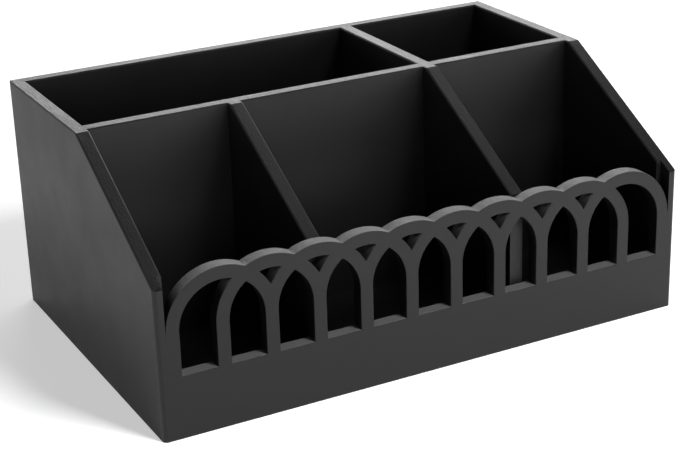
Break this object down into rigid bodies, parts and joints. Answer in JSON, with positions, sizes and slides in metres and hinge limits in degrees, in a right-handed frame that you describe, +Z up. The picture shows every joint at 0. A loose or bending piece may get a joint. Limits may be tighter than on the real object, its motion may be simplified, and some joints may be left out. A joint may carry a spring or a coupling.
{
  "type": "coffee station organizer",
  "caption": "Open-topped wooden organizer box with sloping sides, crossing dividers, two rear bays, three front bays and an openwork arcade front board.",
  "frame": {"origin": "on the table, under the middle of the box's outline", "axes": "+X to the right along the width, +Y from the openwork front to the back, +Z up"},
  "size_m": [0.32, 0.21, 0.138],
  "materials": {
    "black_paint": "satin black paint over smooth board",
    "brad_steel": "bright drawn wire"
  },
  "bodies": {
    "root": {"left_side": "black_paint", "right_side": "black_paint", "back_panel": "black_paint", "bottom_panel": "black_paint", "middle_divider": "black_paint", "cross_divider": "black_paint", "left_front_divider": "black_paint", "front_board": "black_paint", "case_brads": "brad_steel", "divider_brads": "brad_steel"}
  },
  "joints": []
}
